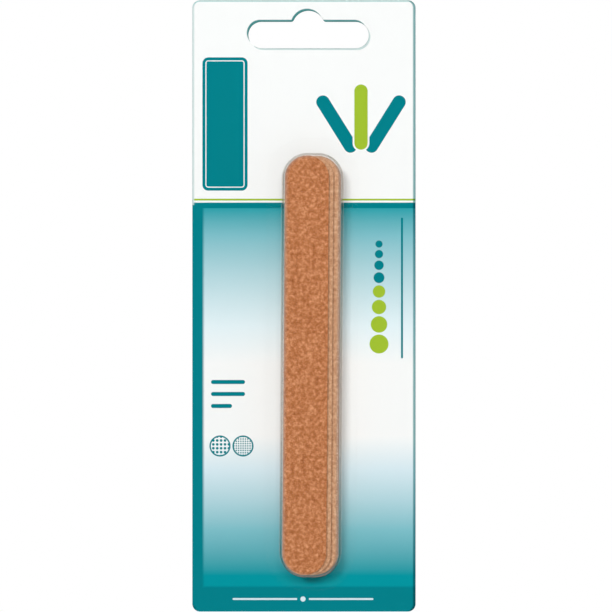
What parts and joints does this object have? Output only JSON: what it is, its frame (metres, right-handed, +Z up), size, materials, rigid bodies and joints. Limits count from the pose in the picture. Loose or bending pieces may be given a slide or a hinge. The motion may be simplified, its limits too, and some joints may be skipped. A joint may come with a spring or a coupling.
{
  "type": "emery board pack",
  "caption": "Peg-hung paperboard card with a clear domed blister holding a loose stack of two-texture emery boards with full-round ends.",
  "frame": {"origin": "on the back face of the card, at the top of the peg slot's peak, where a peg carries the pack", "axes": "+Z up along the card's long side, +X to the right as the printed front is seen, and -Y out of the printed front through the boards and the blister"},
  "size_m": [0.0603, 0.0117, 0.1651],
  "materials": {
    "printed_card": "satin",
    "coarse_grit": "matte",
    "fine_grit": "matte",
    "backing_paper": "matte",
    "board_core": "matte",
    "clear_blister": "gloss"
  },
  "bodies": {
    "card": {"backing_card": "printed_card"},
    "board_01": {"board_01_coarse_grit": "coarse_grit", "board_01_coarse_paper": "backing_paper", "board_01_core": "board_core", "board_01_fine_paper": "backing_paper", "board_01_fine_grit": "fine_grit"},
    "board_02": {"board_02_coarse_grit": "coarse_grit", "board_02_coarse_paper": "backing_paper", "board_02_core": "board_core", "board_02_fine_paper": "backing_paper", "board_02_fine_grit": "fine_grit"},
    "board_03": {"board_03_coarse_grit": "coarse_grit", "board_03_coarse_paper": "backing_paper", "board_03_core": "board_core", "board_03_fine_paper": "backing_paper", "board_03_fine_grit": "fine_grit"},
    "board_04": {"board_04_coarse_grit": "coarse_grit", "board_04_coarse_paper": "backing_paper", "board_04_core": "board_core", "board_04_fine_paper": "backing_paper", "board_04_fine_grit": "fine_grit"},
    "board_05": {"board_05_coarse_grit": "coarse_grit", "board_05_coarse_paper": "backing_paper", "board_05_core": "board_core", "board_05_fine_paper": "backing_paper", "board_05_fine_grit": "fine_grit"},
    "board_06": {"board_06_coarse_grit": "coarse_grit", "board_06_coarse_paper": "backing_paper", "board_06_core": "board_core", "board_06_fine_paper": "backing_paper", "board_06_fine_grit": "fine_grit"},
    "board_07": {"board_07_coarse_grit": "coarse_grit", "board_07_coarse_paper": "backing_paper", "board_07_core": "board_core", "board_07_fine_paper": "backing_paper", "board_07_fine_grit": "fine_grit"},
    "board_08": {"board_08_coarse_grit": "coarse_grit", "board_08_coarse_paper": "backing_paper", "board_08_core": "board_core", "board_08_fine_paper": "backing_paper", "board_08_fine_grit": "fine_grit"},
    "board_09": {"board_09_coarse_grit": "coarse_grit", "board_09_coarse_paper": "backing_paper", "board_09_core": "board_core", "board_09_fine_paper": "backing_paper", "board_09_fine_grit": "fine_grit"},
    "board_10": {"board_10_coarse_grit": "coarse_grit", "board_10_coarse_paper": "backing_paper", "board_10_core": "board_core", "board_10_fine_paper": "backing_paper", "board_10_fine_grit": "fine_grit"},
    "blister": {"clear_blister": "clear_blister"}
  },
  "joints": [
    {"name": "board_10_lift_off", "type": "slide", "parent": "card", "child": "board_10", "axis": [0, -1, 0], "range_m": [0, 0.012]},
    {"name": "board_09_lift_off", "type": "slide", "parent": "board_10", "child": "board_09", "axis": [0, -1, 0], "range_m": [0, 0.012]},
    {"name": "board_08_lift_off", "type": "slide", "parent": "board_09", "child": "board_08", "axis": [0, -1, 0], "range_m": [0, 0.012]},
    {"name": "board_07_lift_off", "type": "slide", "parent": "board_08", "child": "board_07", "axis": [0, -1, 0], "range_m": [0, 0.012]},
    {"name": "board_06_lift_off", "type": "slide", "parent": "board_07", "child": "board_06", "axis": [0, -1, 0], "range_m": [0, 0.012]},
    {"name": "board_05_lift_off", "type": "slide", "parent": "board_06", "child": "board_05", "axis": [0, -1, 0], "range_m": [0, 0.012]},
    {"name": "board_04_lift_off", "type": "slide", "parent": "board_05", "child": "board_04", "axis": [0, -1, 0], "range_m": [0, 0.012]},
    {"name": "board_03_lift_off", "type": "slide", "parent": "board_04", "child": "board_03", "axis": [0, -1, 0], "range_m": [0, 0.012]},
    {"name": "board_02_lift_off", "type": "slide", "parent": "board_03", "child": "board_02", "axis": [0, -1, 0], "range_m": [0, 0.012]},
    {"name": "board_01_lift_off", "type": "slide", "parent": "board_02", "child": "board_01", "axis": [0, -1, 0], "range_m": [0, 0.012]},
    {"name": "blister_lift_off", "type": "slide", "parent": "board_01", "child": "blister", "axis": [0, -1, 0], "range_m": [0, 0.03]}
  ]
}
